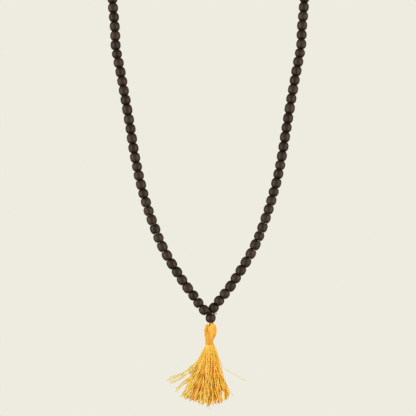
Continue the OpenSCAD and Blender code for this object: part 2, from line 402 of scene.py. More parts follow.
def spunForm(outline, closed, steps, within):  # turns an outline round Z; closer points than within merge
    bm = bmesh.new()
    corners = [bm.verts.new((r, 0, z)) for r, z in outline]
    edges = [bm.edges.new(pair) for pair in zip(corners, corners[1:] + (corners[:1] if closed else []))]
    bmesh.ops.spin(bm, geom=corners + edges, axis=(0, 0, 1), cent=(0, 0, 0), steps=steps, angle=2 * pi,
                   use_merge=True, use_duplicate=False)
    bmesh.ops.remove_doubles(bm, verts=bm.verts, dist=within)
    bmesh.ops.recalc_face_normals(bm, faces=bm.faces)
    return bm


# Beads

beadForm = {
    "segments": 24,
    "ballRings": 6,
    "guruFlatEnds": (0.5, 0.68),   # it is rounder below than on top
    "rimRound": 0.2,     # rounding where the side meets the flat end
    "mouthRound": 0.15,  # rounding at the mouth of the bore
    "closeUp": 0.08,     # how much nearer to its neighbour an end sits than in the frame
    "lengthPlay": 0.04,  # how much shorter a bead may turn out
    "lean": 0.55,        # share of the room at a bend that is taken up
    "oval": 0.012,       # how far a bead is out of round
    "offLine": 0.08,     # how far a bead sits off the string's line
    "grainSpread": 60,   # of the wood's pattern, from which each bead has its own place
    # stain in the end grain and painted shade where the beads meet: where it starts and over what length it
    # deepens, as shares of the half length
    "endDarkFrom": 0.55, "endDarkOver": 0.35, "endDarkMost": 0.75,
    "near": 0.01,        # edges this close to a rim belong to it
}


def seated(side, n):             # ends of a bead that leans on its neighbours
    start, end = beadEnds(side, n)
    along = unit(end - start)
    below, above = (roomAt(knots[side], i) - loop["gap"] / 2 for i in (n - 1, n))
    return start - beadForm["lean"] * below * along, end + beadForm["lean"] * above * along


def turnedBead(start, end, bore, flatEnds=(loop["flatEnd"], loop["flatEnd"])):
    half = ((end - start).length + 2 * beadForm["closeUp"] - draw.uniform(0, beadForm["lengthPlay"])) / 2
    outline = [(bore / 2, -half)]
    rims = []
    for way, flatEnd in zip((-1, 1), flatEnds):
        band = half - beadRadius * sqrt(1 - flatEnd ** 2)
        if band < loop["leastBand"]:
            band = 0.0
        lift = asin((half - band) / beadRadius)
        arc = [lift * i / beadForm["ballRings"] for i in range(beadForm["ballRings"] + 1)]
        arc = [(beadRadius * cos(a), way * (band + beadRadius * sin(a))) for a in arc]
        rims.append(arc[-1])
        outline += reversed(arc) if way < 0 else arc
    outline.append((bore / 2, half))
    bm = spunForm(outline, True, beadForm["segments"], 0.001)
    corner = [(*rim, beadForm["rimRound"], 2) for rim in rims]
    corner += [(bore / 2, z, beadForm["mouthRound"], 1) for z in (-half, half)]
    for radius, z, rounding, segments in corner:
        sharp = [e for e in bm.edges if all(
            abs(v.co.z - z) < beadForm["near"] and abs(v.co.xy.length - radius) < beadForm["near"]
            for v in e.verts)]
        bmesh.ops.bevel(bm, geom=sharp, offset=rounding, offset_type="OFFSET", affect="EDGES",
                        segments=segments, profile=0.5, material=-1, clamp_overlap=True)
    grain = bm.verts.layers.float_vector.new("grain")
    tint = bm.verts.layers.float.new("tint")
    endStainAndShade = bm.verts.layers.float.new("endStainAndShade")
    shift = Vector([draw.uniform(0, beadForm["grainSpread"]) for _ in range(3)])
    ownTint = draw.random()
    for v in bm.verts:
        v[grain] = v.co + shift
        v[tint] = ownTint
        # darker towards the ends: end-grain stain and painted shade where the beads meet
        depth = (abs(v.co.z) / half - beadForm["endDarkFrom"]) / beadForm["endDarkOver"]
        v[endStainAndShade] = beadForm["endDarkMost"] * max(0.0, min(1.0, depth))
    wide = 1 + draw.uniform(-1, 1) * beadForm["oval"]
    bmesh.ops.scale(bm, vec=(wide, 1 / wide, 1), verts=bm.verts)
    rolled = Matrix.Rotation(draw.uniform(0, anyTurn), 3, "Z")
    bmesh.ops.rotate(bm, verts=bm.verts, cent=(0, 0, 0), matrix=rolled)
    aside = Vector((draw.uniform(-1, 1), draw.uniform(-1, 1), 0)) * beadForm["offLine"]
    bmesh.ops.translate(bm, verts=bm.verts, vec=aside)
    bmesh.ops.transform(bm, matrix=between(start, end), verts=bm.verts)
    return bm


def joined(forms):               # several bmeshes into one, layers kept
    bm = bmesh.new()
    for form in forms:
        mesh = bpy.data.meshes.new("part")
        form.to_mesh(mesh)
        form.free()
        bm.from_mesh(mesh)
        bpy.data.meshes.remove(mesh)
    return bm


sideNames = {-1: "left", 1: "right"}
farthest = 0.0
for side, sideName in sideNames.items():
    for n in range(1, loop["loose"] + 1):
        node = "bead_%s_%02d" % (sideName, n)
        start, end = beadEnds(side, n)
        low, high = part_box(node)
        farthest = max(farthest, ((low + high) / 2 / mm - (start + end) / 2).length)
        bead = turnedBead(*seated(side, n), loop["bore"])
        finishPiece(bead, node + "_turned", woodFinish, [node])
print("loose beads made, at most %.3f mm from the frame's" % farthest)

bead = turnedBead(guruAt(0, -guruHalf), guruAt(0, guruHalf), loop["guruBore"], beadForm["guruFlatEnds"])
finishPiece(bead, "guru_bead_turned", woodFinish, ["guru_bead"])

stretches = [
    ("front", loop["loose"], loop["frontUpTo"]),
    ("shoulder", loop["frontUpTo"], loop["shoulderUpTo"]),
]
for side, sideName in sideNames.items():
    for stretch, below, last in stretches:
        node = "strand_%s_%s" % (sideName, stretch)
        beads = [turnedBead(*seated(side, n), loop["bore"]) for n in range(below + 1, last + 1)]
        finishPiece(joined(beads), node + "_beads", woodFinish, [node])
beads = [turnedBead(*seated(side, n), loop["bore"])
         for side in sideNames for n in range(loop["shoulderUpTo"] + 1, loop["perSide"] + 1)]
finishPiece(joined(beads), "strand_back_beads", woodFinish, ["strand_back"])
print("joined beads made")


# Threads: each is a spline of one curve, swept by a round or lobed section

def section(sides, lobes=0, depth=0.0):
    curve = bpy.data.curves.new("section", "CURVE")
    curve.dimensions = "2D"
    curve.fill_mode = "NONE"
    spline = curve.splines.new("POLY")
    spline.points.add(sides - 1)
    spline.use_cyclic_u = True
    for i, point in enumerate(spline.points):
        turn = 2 * pi * i / sides
        r = 0.5 * (1 - depth * (1 - cos(lobes * turn)) / 2)
        point.co = (r * cos(turn), r * sin(turn), 0, 1)
    return addObject("section", curve)


def sweptThreads(threads, sides=5, lobes=0, depth=0.0, pitch=0.0):
    # a thread is its points, thickness, and tint from 0, deep in painted shade, to 1, bright in painted
    # light. The last two may be one number or one for each point
    ring = section(sides, lobes, depth)
    curve = bpy.data.curves.new("threads", "CURVE")
    curve.dimensions = "3D"
    curve.twist_mode = "MINIMUM"
    curve.bevel_mode = "OBJECT"
    curve.bevel_object = ring
    tints, lengths = [], []
    for points, thick, tint in threads:
        ways = waysAlong(points)
        spline = curve.splines.new("POLY")
        spline.points.add(len(points) - 1)
        for i, point in enumerate(spline.points):
            point.co = (*points[i], 1)
            point.radius = thick if isinstance(thick, float) else thick[i]
            point.tilt = 2 * pi * ways[i] / pitch if pitch else 0.0
            tints += [tint if isinstance(tint, float) else tint[i]] * sides
        lengths += [ways[-1]] * (4 * sides * (len(points) - 1))   # one to a corner of its quads
    holder = addObject("threads", curve)
    bpy.context.view_layer.update()
    mesh = bpy.data.meshes.new_from_object(holder.evaluated_get(bpy.context.evaluated_depsgraph_get()))
    mesh.attributes.new("tint", "FLOAT", "POINT").data.foreach_set("value", tints)
    for corner, length in zip(mesh.uv_layers[0].data, lengths):
        corner.uv.x *= length
    bm = bmesh.new()
    bm.from_mesh(mesh)
    bmesh.ops.holes_fill(bm, edges=[e for e in bm.edges if e.is_boundary], sides=0)
    for made in (holder, ring):
        data = made.data
        bpy.data.objects.remove(made)
        bpy.data.curves.remove(data)
    bpy.data.meshes.remove(mesh)
    return bm


# String: three plies, seen in the gaps and beside the guru bead
string = {
    "plies": 3, "grooves": 0.2, "pitch": 3.2, "ringsPerTurn": 7, "sides": 9, "tint": (0.4, 0.6),
    "aside": 0.56,       # half the way from one thread to the other
    "in": 2.4,           # how far they reach into it
    "out": 0.7,          # how far each one leaves its last bead
    "over": 0.5,         # how far over the guru bead it turns down
    "bendSteps": 4,
    # just over the guru bead the left thread is coiled into a small lump: its ends, across and up
    "coil": ((-2.2, 0.75), (0.15, 1.4)), "coilForward": 0.5, "coilRadius": 0.76,
    "coilTurns": 3, "coilSteps": 9,
}


def stringPiece(name, points, thickness, nodes=(), material=None, pitch=None):
    pitch = pitch or string["pitch"]
    count = max(3, round(waysAlong(points)[-1] / pitch * string["ringsPerTurn"]))
    thread = (evenly(points, count), thickness, draw.uniform(*string["tint"]))
    bm = sweptThreads([thread], string["sides"], string["plies"], string["grooves"], pitch)
    finishPiece(bm, name, material or stringFinish, nodes)


def throughBeads(side, first, last):
    return [p for n in range(first, last + 1) for p in beadEnds(side, n)]


coilStart, coilEnd = (Vector(place) for place in string["coil"])
for side, sideName in sideNames.items():
    first = knots[side][0]
    turnIn = [first, first + string["out"] * unit(first - knots[side][1])]
    if side < 0:
        for i in range(string["coilTurns"] * string["coilSteps"] + 1):
            turn = 2 * pi * i / string["coilSteps"]
            aside, up = coilStart.lerp(coilEnd, i / (string["coilTurns"] * string["coilSteps"]))
            turnIn.append(guruAt(aside, guruHalf + up + string["coilRadius"] * cos(turn),
                                 string["coilForward"] + string["coilRadius"] * sin(turn)))
    turnIn.append(guruAt(side * string["aside"], guruHalf + string["over"]))
    turnIn.append(guruAt(side * string["aside"], guruHalf - string["in"]))
    turnIn = smoothCurve(turnIn, string["bendSteps"])
    path = list(reversed(turnIn)) + throughBeads(side, 1, loop["loose"])
    stringPiece("thread_%s_string" % sideName, path, loop["string"], ["thread_" + sideName])
    for stretch, below, last in stretches:
        path = [knots[side][below]] + throughBeads(side, below + 1, last) + [knots[side][last]]
        stringPiece("strand_%s_%s_string" % (sideName, stretch), path, loop["string"])
top = loop["shoulderUpTo"]
leftPath, rightPath = ([knots[side][top]] + throughBeads(side, top + 1, loop["perSide"]) for side in knots)
stringPiece("strand_back_string", leftPath + rightPath[::-1], loop["string"])

# Cut end of the string: a short stub beside the guru bead that unravels into fibres
tail = {
    # across, forward and up from the guru bead's middle
    "rows": [(0.9, 1.4, 3.8), (2.6, 1.7, 3.8), (4.9, 1.6, 3.5)], "steps": 10,
    "core": 0.304,       # how far the fibres lie from the middle while they are still a thread
    "fan": 0.3, "fanCurve": 2.2, "fanPlay": (0.8, 1.2),   # how they open towards the cut
    "twist": 2.5,        # radians from end to end
    "slant": 0.3, "flat": 0.75,
    "fibres": 16, "fibre": 0.3, "rings": 12, "reach": (0.8, 1.0), "tint": (0.2, 1.0),
    "root": 1.2, "taper": 0.6,   # thickness at the root and how much of it goes, as shares of a fibre's
}
tailLine = [Vector((guruX + aside, frontY - forward, guruZ + up)) for aside, forward, up in tail["rows"]]
tailLine = smoothCurve(tailLine, tail["steps"])
fibres = []
for i in range(tail["fibres"]):
    turn = 2 * pi * i / tail["fibres"]
    kept = evenly(tailLine, tail["rings"])[:round(tail["rings"] * draw.uniform(*tail["reach"]))]
    for j, p in enumerate(kept):
        share = j / (tail["rings"] - 1)
        wide = tail["core"] + tail["fan"] * share ** tail["fanCurve"] * draw.uniform(*tail["fanPlay"])
        spin = turn + tail["twist"] * share
        p += Vector((tail["slant"] * wide * sin(spin), wide * cos(spin), tail["flat"] * wide * sin(spin)))
    thick = [tail["fibre"] * (tail["root"] - tail["taper"] * j / len(kept)) for j in range(len(kept))]
    fibres.append((kept, thick, draw.uniform(*tail["tint"])))
finishPiece(sweptThreads(fibres, 4), "thread_tail_fibres", fibreFinish, ["thread_tail"])
print("string made")


# Tassel

tassel = {
    "headHeight": 14.5, "headWidth": 6.4, "waist": 5.4,
    "bindingHeight": 2.2, "bindingThread": 0.5,
    "seat": 0.05,        # room round the binding and over and under it
    "waistLeft": 1,      # how far left of the guru bead the waist is
}
headHalf = tassel["headWidth"] / 2
waistTop = headTop - tassel["headHeight"]
waistBottom = waistTop - tassel["bindingHeight"] - 2 * tassel["seat"]
waistX = guruX - tassel["waistLeft"]

# Hanging loop: both legs come out of the guru bead and turn inside the head
hanger = {
    "half": 0.42,        # half the way from one leg to the other
    "middle": -0.46, "drop": 2.6, "up": 0.5, "thickness": 1.0, "turnSteps": 8, "pitch": 2.4,
}
turnZ = headTop - hanger["drop"] + hanger["half"] + hanger["thickness"] / 2
path = [guruAt(hanger["middle"] - hanger["half"], hanger["up"])]
for i in range(hanger["turnSteps"] + 1):
    turn = pi * i / hanger["turnSteps"]
    path.append(Vector((guruX + hanger["middle"] - hanger["half"] * cos(turn), frontY,
                        turnZ - hanger["half"] * sin(turn))))
path.append(guruAt(hanger["middle"] + hanger["half"], hanger["up"]))
stringPiece("tassel_loop_cord", path, hanger["thickness"], ["tassel_loop"], hangerFinish,
            hanger["pitch"])

# Main fold: threads over the loop, down round the bulge to the waist, leaning round as they go
mainFold = {
    # drop, shift, width, depth, as shares of the head's height and half width
    "rows": [
        (-0.02, 0.37, 0.2, 0.36), (0.04, 0.45, 0.41, 0.6), (0.11, 0.5, 0.64, 0.8), (0.16, 0.48, 0.78, 0.88),
        (0.22, 0.45, 0.9, 0.94),
        (0.39, 0.52, 1, 1), (0.56, 0.5, 0.95, 1), (0.73, 0.35, 0.79, 0.92), (0.89, 0.15, 0.59, 0.84),
        (1, 0.05, 0.49, 0.8),
    ],
    "threads": 30, "thickness": 0.72, "rings": 16,
    "over": 4,           # more threads that lie on top of the others
    "inset": (0.5, 0.7), "insetOver": (0.28, 0.4),   # below the head's surface, as shares of the thickness
    "turnPlay": 0.04, "lean": 2.0, "leanPlay": (0.92, 1.08),
    "wander": 0.04, "wanderDown": 9, "wanderRound": 5,
    # where they start: across from the guru bead, half width, half depth, and how far over the head's top
    "crown": (1.15, 0.6, 0.6, 0.25),
    "pressed": 0.62, "pressedFrom": 0.15,   # share of the thickness that is left where they are squeezed
    "tint": [(0, 0.66), (0.5, 0.4), (1, 0.24)],   # painted shade that deepens down to the waist: at the top, at the bulge and at the waist
    "ownTints": (-0.1, 0.0, 0.1),
    # painted shade on the right side: how much deeper in tone it is at the top, what the waist adds, and how
    # far round that goes
    "deeper": 0.12, "deeperDown": 0.16, "deeperRound": 0.25,
    "coreRings": 12, "coreSides": 20, "coreShade": 0.25, "coreTop": 0.04, "coreInset": 0.62, "coreTwist": 3,
}


def flossPiece(name, threads, sides, nodes=()):
    finishPiece(sweptThreads(threads, sides), name, flossFinish, nodes)


def headPoint(drop, turn, inset):
    row = tableAt(mainFold["rows"], drop)
    return Vector((
        guruX + headHalf * row[1] + (headHalf * row[2] - inset) * cos(turn),
        frontY + (headHalf * row[3] - inset) * sin(turn),
        headTop - tassel["headHeight"] * drop,
    ))


threads = []
crownX, crownWide, crownDeep, crownUp = mainFold["crown"]
for i in range(mainFold["threads"] + mainFold["over"]):
    over = i >= mainFold["threads"]
    turn = 2 * pi * (draw.random() if over else i / mainFold["threads"])
    turn += eitherWay(mainFold["turnPlay"])
    inset = mainFold["thickness"] * draw.uniform(*mainFold["insetOver" if over else "inset"])
    lean = mainFold["lean"] * draw.uniform(*mainFold["leanPlay"])
    points = [Vector((guruX + crownX + crownWide * cos(turn), frontY + crownDeep * sin(turn),
                      headTop + crownUp))]
    for j in range(mainFold["rings"]):
        drop = j / (mainFold["rings"] - 1)
        wander = sin(mainFold["wanderDown"] * drop + mainFold["wanderRound"] * turn)
        points.append(headPoint(drop, turn + lean * drop + mainFold["wander"] * wander, inset))
    points.append(points[-1] - Vector((0, 0, tassel["bindingHeight"])))
    own = draw.choice(mainFold["ownTints"])
    thick, tint = [], []
    for k in range(len(points)):
        share = k / len(points)
        swell = sin(pi * min(1.0, mainFold["pressedFrom"] + (1 - mainFold["pressedFrom"]) * share))
        thick.append(mainFold["thickness"] * (mainFold["pressed"] + (1 - mainFold["pressed"]) * swell))
        # painted shade: deeper on the right side and down towards the waist
        right = cos(turn + lean * share) + mainFold["deeperRound"]
        tint.append(tableAt(mainFold["tint"], share)[1] + own
                    - (mainFold["deeper"] + mainFold["deeperDown"] * share) * right)
    threads.append((points, thick, tint))
flossPiece("tassel_main_fold_threads", threads, 6, ["tassel_main_fold"])

# what those threads wrap: the rest of the hank, seen only as a deeper tone between them, which is painted
# shade
bm = bmesh.new()
tint = bm.verts.layers.float.new("tint")
rings = []
for j in range(mainFold["coreRings"]):
    drop = mainFold["coreTop"] + (1 - mainFold["coreTop"]) * j / (mainFold["coreRings"] - 1)
    made = bmesh.ops.create_circle(bm, cap_ends=False, radius=1.0, segments=mainFold["coreSides"])["verts"]
    for v in made:
        v.co = headPoint(drop, atan2(v.co.y, v.co.x), mainFold["thickness"] * mainFold["coreInset"])
        # painted shade between the threads
        v[tint] = mainFold["coreShade"]
    rings.append(list({e for v in made for e in v.link_edges}))
for a, b in zip(rings, rings[1:]):
    bmesh.ops.bridge_loops(bm, edges=a + b)
bmesh.ops.holes_fill(bm, edges=[e for e in bm.edges if e.is_boundary], sides=0)
uvLayer = bm.loops.layers.uv.new("UVMap")
for face in bm.faces:
    for corner in face.loops:
        p = corner.vert.co
        corner[uvLayer].uv = (p.z, mainFold["coreTwist"] * atan2(p.y - frontY, p.x - guruX))
finishPiece(bm, "tassel_main_fold_core", flossFinish)

# Side fold: a smaller hank beside it, each thread up, over and down again. A row: across from the
# guru bead's middle and drop as a share of the head's height, for the outermost and innermost thread
sideFold = {
    "rows": [
        (-3.95, 1.16, -2.9, 1.16), (-3.95, 1, -2.9, 1), (-4.15, 0.92, -2.8, 0.92), (-4.5, 0.76, -2.7, 0.75),
        (-4.7, 0.58, -2.8, 0.58), (-4.65, 0.38, -3.3, 0.44), (-4.5, 0.27, -3.4, 0.34),
        (-4.05, 0.16, -3.3, 0.26), (-3.4, 0.1, -3.1, 0.21), (-2.75, 0.085, -2.75, 0.195),
        (-2.0, 0.095, -2.4, 0.21), (-1.35, 0.14, -2.1, 0.26), (-1.15, 0.26, -2.05, 0.34),
        (-1.05, 0.4, -2.2, 0.45), (-1.1, 0.58, -2.5, 0.58), (-1.3, 0.76, -2.6, 0.75),
        (-1.6, 1, -2.7, 1), (-1.6, 1.16, -2.7, 1.16),
    ],
    "steps": 5, "rings": 34,
    "layers": 4, "layerPlay": 0.25, "inDepth": 7, "deep": 2.5, "deepPlay": 0.1,
    "middle": -2.75,
    "bow": 0.12,         # how much narrower the fold is at its front and back
    "waveAcross": 0.08, "waveDeep": 0.14,
    "turnAcross": 0.55, "turnDeep": 0.5,     # of those waves, in radians from ring to ring
    "thickness": 0.6, "thicknessPlay": (0.85, 1.0),
    # painted light and shade, brightest over the top and deeper down the legs: up the outer leg, over, and
    # down the inner one
    "tint": [(0, 0.42), (0.35, 0.52), (0.48, 0.75), (0.6, 0.58), (1, 0.38)],
    "ownTints": (-0.08, 0.0, 0.08),
    # threads that pass behind the eye, deep in tone as painted shade there: how many, first place across and
    # way to the last, backward, drops
    "fill": 5, "fillFrom": -3.3, "fillWide": 1.0, "fillBack": (0.0, 0.5), "fillShade": -0.15,
    "fillDrops": (0.2, 0.35, 0.5, 0.65),
}
threads = []
for i in range(sideFold["inDepth"]):
    for j in range(sideFold["layers"]):
        inward = (j + eitherWay(sideFold["layerPlay"])) / (sideFold["layers"] - 1)
        deep = (i / (sideFold["inDepth"] - 1) - 0.5) * sideFold["deep"]
        deep += eitherWay(sideFold["deepPlay"])
        bow = 1 - sideFold["bow"] * (2 * deep / sideFold["deep"]) ** 2
        line = []
        for x, drop, innerX, innerDrop in sideFold["rows"]:
            x = (x + (innerX - x) * inward - sideFold["middle"]) * bow + sideFold["middle"]
            drop += (innerDrop - drop) * inward
            line.append(Vector((guruX + x, frontY + deep, headTop - tassel["headHeight"] * drop)))
        line = evenly(smoothCurve(line, sideFold["steps"]), sideFold["rings"])
        phase = draw.uniform(0, anyTurn)
        own = draw.choice(sideFold["ownTints"])
        for k, point in enumerate(line):
            point += Vector((sideFold["waveAcross"] * sin(sideFold["turnAcross"] * k + phase),
                             sideFold["waveDeep"] * cos(sideFold["turnDeep"] * k + phase),
                             0)) * sin(pi * k / (len(line) - 1))
        thick = sideFold["thickness"] * draw.uniform(*sideFold["thicknessPlay"])
        # painted light over the fold's top, painted shade down its legs
        tint = [tableAt(sideFold["tint"], k / len(line))[1] + own for k in range(len(line))]
        threads.append((line, thick, tint))
for i in range(sideFold["fill"]):
    x = guruX + (sideFold["fillFrom"] + sideFold["fillWide"] * i / (sideFold["fill"] - 1))
    line = [Vector((x, frontY + draw.uniform(*sideFold["fillBack"]), headTop - tassel["headHeight"] * drop))
            for drop in sideFold["fillDrops"]]
    # deep tint: painted shade in the eye
    threads.append((line, sideFold["thickness"], sideFold["fillShade"]))
flossPiece("tassel_side_fold_threads", threads, 6, ["tassel_side_fold"])

# Binding: turns of floss wound down the waist, both ends tucked in
binding = {
    "ringsPerTurn": 40, "sides": 8, "tint": 0.6, "startTurn": 1.2,
    "crowding": 1.04,    # turns for each thickness of thread down the waist
    "plump": 1.05,       # thickness of the thread where it is free to swell
    "tuck": 0.45,        # how far in the ends go, over one turn divided by tuckShare
    "tuckShare": 6,
    "uneven": 0.04, "unevenWaves": 3.3, "sway": 0.03, "swayWaves": 1.7,   # in and out, and up and down
}
turns = tassel["bindingHeight"] / tassel["bindingThread"] * binding["crowding"]
count = round(turns * binding["ringsPerTurn"])
bindingRadius = tassel["waist"] / 2 + tassel["seat"] + tassel["bindingThread"] / 2
firstTurnZ = waistTop - tassel["seat"] - tassel["bindingThread"] / 2
points = []
for i in range(count + 1):
    share = i / count
    turn = 2 * pi * turns * share + binding["startTurn"]
    tucked = max(0.0, 1 - min(share, 1 - share) * turns * binding["tuckShare"])
    r = bindingRadius - binding["tuck"] * tucked
    r += binding["uneven"] * sin(binding["unevenWaves"] * turn)
    z = firstTurnZ - share * (tassel["bindingHeight"] - tassel["bindingThread"])
    points.append(Vector((waistX + r * cos(turn), frontY + r * sin(turn),
                          z + binding["sway"] * sin(binding["swayWaves"] * turn))))
thick = tassel["bindingThread"] * binding["plump"]
bm = sweptThreads([(points, thick, binding["tint"])], binding["sides"])
finishPiece(bm, "tassel_binding_turns", windingFinish, ["tassel_binding"])
print("tassel head made")

# Skirt: threads cut to about one length. Guides run from the left edge of the skirt to the right
# one, each from the waist to a tip: across from the waist's middle, and drop below it
skirt = {
    "guides": [
        [(-2.3, 0), (-4.9, 4.6), (-7.9, 10.2), (-12.4, 16), (-18.5, 20.9), (-26, 24.2), (-33.8, 26.6)],
        [(-2.2, 0), (-4.5, 5.2), (-7.9, 12), (-12.9, 18.8), (-19, 24.2), (-25.5, 28), (-32.2, 30.2)],
        [(-2.1, 0), (-4.1, 6), (-7.3, 13.3), (-11.8, 20.5), (-17.3, 26.8), (-22.9, 31.8), (-28.4, 35.9)],
        [(-1.9, 0), (-3.6, 7), (-6.4, 14.6), (-10.2, 22.2), (-14.6, 29.4), (-19, 35.6), (-23.4, 40.7)],
        [(-1.5, 0), (-3, 7.5), (-5.3, 15.3), (-8.2, 23), (-11.5, 30.4), (-14.8, 37.2), (-17.8, 43.4)],
        [(-1.1, 0), (-2.2, 8), (-3.9, 16), (-6, 24), (-8.2, 31.6), (-10.4, 38.6), (-12.4, 45)],
        [(-0.6, 0), (-1.2, 8), (-2.1, 16), (-3.3, 24), (-4.6, 32), (-5.8, 39.6), (-6.8, 46.6)],
        [(0, 0), (0, 8), (-0.2, 16), (-0.5, 24.2), (-0.9, 32.4), (-1.3, 40.4), (-1.7, 48)],
        [(0.7, 0), (1.1, 8), (1.5, 16), (1.9, 24.2), (2.3, 32.2), (2.7, 40), (3.1, 47.6)],
        [(1.4, 0), (2.4, 8), (3.4, 16), (4.4, 24), (5.4, 31.8), (6.4, 39.4), (7.4, 46.4)],
        [(2.3, 0), (4, 7.4), (5.3, 15), (6.6, 22.6), (7.9, 30.2), (9.2, 37.8), (10.6, 45.2)],
        [(2.9, 0), (5.1, 5.6), (6.6, 13), (8.2, 20.6), (10, 28.6), (12, 36.6), (14, 44.2)],
        [(3.3, 0), (5.6, 4.6), (7.2, 12), (8.8, 19), (11.1, 26), (14.2, 32.8), (18.2, 38.4)],
    ],
    # first guide, last guide, locks in the outer layers, locks inside, threads to a lock, tint, length
    "locks": [
        (0, 0.7, 1, 0, 3, 0.95, 1), (0.9, 1.1, 1, 0, 2, 0.95, 1), (1.15, 1.9, 2, 0, 2, 0.75, 0.62),
        (1.9, 2.4, 1, 0, 3, 0.8, 1), (2.2, 3, 2, 0, 2, 0.75, 0.78), (2.9, 3.4, 2, 0, 2, 0.8, 1),
        (3.5, 5, 8, 1, 3, 0.74, 1), (5, 7.2, 11, 7, 3, 0.62, 1), (7.2, 10.1, 12, 8, 3, 0.54, 1),
        # painted shade: the three locks on the next line are deep-toned stripes down the middle
        (5.2, 5.8, 1, 0, 3, 0.06, 0.8), (6, 6.9, 2, 0, 3, 0.0, 0.75), (8.2, 8.7, 1, 0, 3, 0.08, 0.8),
        (10.1, 10.7, 3, 2, 3, 0.44, 0.8), (10.7, 11.6, 5, 2, 4, 0.48, 1), (11.6, 12, 1, 0, 2, 0.5, 1),
    ],
    # share of the depth: the outermost locks at the front, those inside, and those at the back
    "outer": (0.64, 0.96), "inner": (0.0, 0.6), "behind": (0.1, 0.96),
    "innerShade": (0.24, 0.4),    # painted shade: the locks inside show as deep orange in the gaps
    "tintPlay": 0.1,
    "shadedShare": 0.22,  # of the outer locks that lie in the shade of others, from this guide on
    "shadedFrom": 4,
    "shadedTint": (-0.04, 0.18),
    "topTint": 0.74,     # one even tone where the threads leave the waist side by side, before the painted shade of inner and shaded locks sets in
    "topShare": 0.3,     # share of the length over which that fades
    "tipLight": 0.18,     # painted light: how much paler the loose ends are made
    "tipLightFrom": 0.45,     # share of the length from which they get paler
    "ownTint": 0.06,
    "lengths": (0.965, 1.0), "innerLengths": (0.83, 1.0), "ownLength": (0.96, 1.0),   # shares of a guide's
    "depth": 10.0,       # how far the tips reach to the front and back
    "depthCurve": 1.15,
    "shallow": 0.35,     # how much less deep the skirt is at its left and right edges
    "waist": 2.45,       # radius of the bunch at the waist
    "waistLeast": 0.2,
    "start": 0.1,        # how far over the bottom of the binding the free threads start
    "rootIn": 0.3,       # how much closer to the middle their roots are, up inside the binding
    "lockPlay": (0.2, 0.8), "lockWide": (0.35, 0.6),
    "gather": 0.25,      # share of its width that a lock has at the waist
    "lockTurn": 2.2,     # how far a lock twists, in radians
    "guideSteps": 4, "guideRings": 40, "points": 30,
    "thickness": (0.62, 0.8), "taper": 0.15,
    "lockWave": (0.3, 0.7), "wave": (0.04, 0.12), "waveLength": (7.5, 14.0),
    "waveGrow": 1.7, "waveCurve": 1.2,     # how fast the waves grow down the thread
}


def guideAt(place):              # a guide between two of the table
    i = min(int(place), len(skirt["guides"]) - 2)
    share = place - i
    return [Vector((a[0] + (b[0] - a[0]) * share, 0, -(a[1] + (b[1] - a[1]) * share)))
            for a, b in zip(skirt["guides"][i], skirt["guides"][i + 1])]


def waveOf(size):                # one wave across and one forward: size, length and start
    return [(draw.uniform(*size), draw.uniform(*skirt["waveLength"]), draw.uniform(0, 2 * pi))
            for _ in range(2)]


def waved(wave, way, t):
    grow = min(1.0, skirt["waveGrow"] * t) ** skirt["waveCurve"]
    sway = [size * sin(2 * pi * way / length + start) for size, length, start in wave]
    return grow * Vector((*sway, 0))


def skirtThread(place, deep, lockWave, wide, spot, tint, length):
    guide = evenly(smoothCurve(guideAt(place), skirt["guideSteps"]), skirt["guideRings"])
    reach = waysAlong(guide)[-1]
    ownWave = waveOf(skirt["wave"])
    middle = (len(skirt["guides"]) - 1) / 2
    depth = skirt["depth"] * (1 - skirt["shallow"] * abs(place - middle) / middle)
    points = []
    for i in range(skirt["points"]):
        t = i / (skirt["points"] - 1)
        p = guide[round(t * (skirt["guideRings"] - 1))].copy()
        room = skirt["waist"] ** 2 - min(skirt["waist"], abs(p.x)) ** 2
        p.y = (sqrt(max(skirt["waistLeast"], room)) * (1 - t) + depth * t ** skirt["depthCurve"]) * deep
        turn = spot + skirt["lockTurn"] * t
        spread = wide * (skirt["gather"] + (1 - skirt["gather"]) * t)
        p += spread * Vector((cos(turn), sin(turn), 0))
        p += waved(lockWave, t * reach, t) + waved(ownWave, t * reach, t)
        points.append(p + Vector((waistX, frontY, waistBottom + skirt["start"])))
    reach = waysAlong(points)[-1] * length
    points = pointsAt(points, [reach * i / (skirt["points"] - 1) for i in range(skirt["points"])])
    inward = skirt["rootIn"] * (waistX - points[0].x)
    points.insert(0, points[0] + Vector((inward, 0, tassel["bindingHeight"])))
    thick = draw.uniform(*skirt["thickness"])
    tint += eitherWay(skirt["ownTint"])
    tints = []
    for i in range(len(points)):
        along = i / len(points)
        top = 1 - min(1.0, along / skirt["topShare"]) ** 2
        # painted light on the loose ends
        tipLit = max(0.0, along - skirt["tipLightFrom"]) / (1 - skirt["tipLightFrom"])
        tints.append(tint + (skirt["topTint"] - tint) * top + skirt["tipLight"] * tipLit)
    return points, [thick * (1 - skirt["taper"] * i / len(points)) for i in range(len(points))], tints


